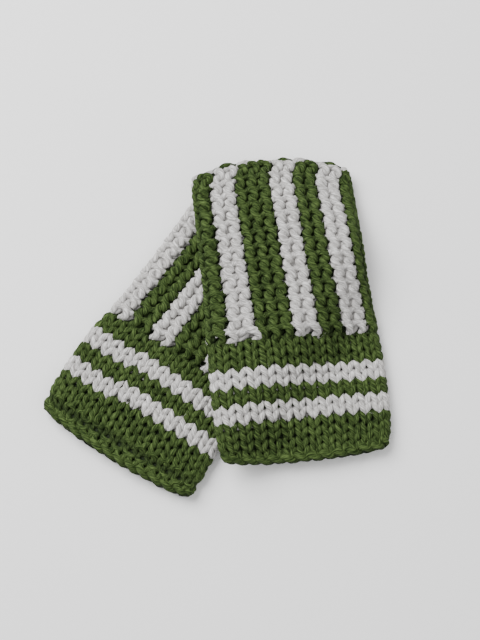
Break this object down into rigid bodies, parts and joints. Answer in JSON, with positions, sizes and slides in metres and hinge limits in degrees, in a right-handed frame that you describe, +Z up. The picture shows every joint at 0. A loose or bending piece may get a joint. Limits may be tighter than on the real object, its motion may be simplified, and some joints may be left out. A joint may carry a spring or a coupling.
{
  "type": "pair of knitted wrist warmers",
  "caption": "Hand-knitted wrist warmers lying flat and crossed: open tubes with a striped garter-stitch hand band, a stocking-stitch cuff, a rolled edge and a turned selvedge.",
  "frame": {"origin": "on the surface under the middle of the pair", "axes": "+Z up from the surface, +X and +Y to the right and the top of the picture; the front wrist warmer's hand end points to +Y"},
  "size_m": [0.1728, 0.1728, 0.0235],
  "materials": {
    "green_yarn": "matt leaf-green chunky yarn",
    "white_yarn": "matt off-white chunky yarn, striped with the green"
  },
  "bodies": {
    "root": {"front_cast_on_edge": "green_yarn", "front_wrist_cuff": "green_yarn", "front_hand_band": "white_yarn", "front_top_selvedge": "green_yarn", "rear_cast_on_edge": "green_yarn", "rear_wrist_cuff": "green_yarn", "rear_hand_band": "white_yarn", "rear_top_selvedge": "green_yarn"}
  },
  "joints": []
}
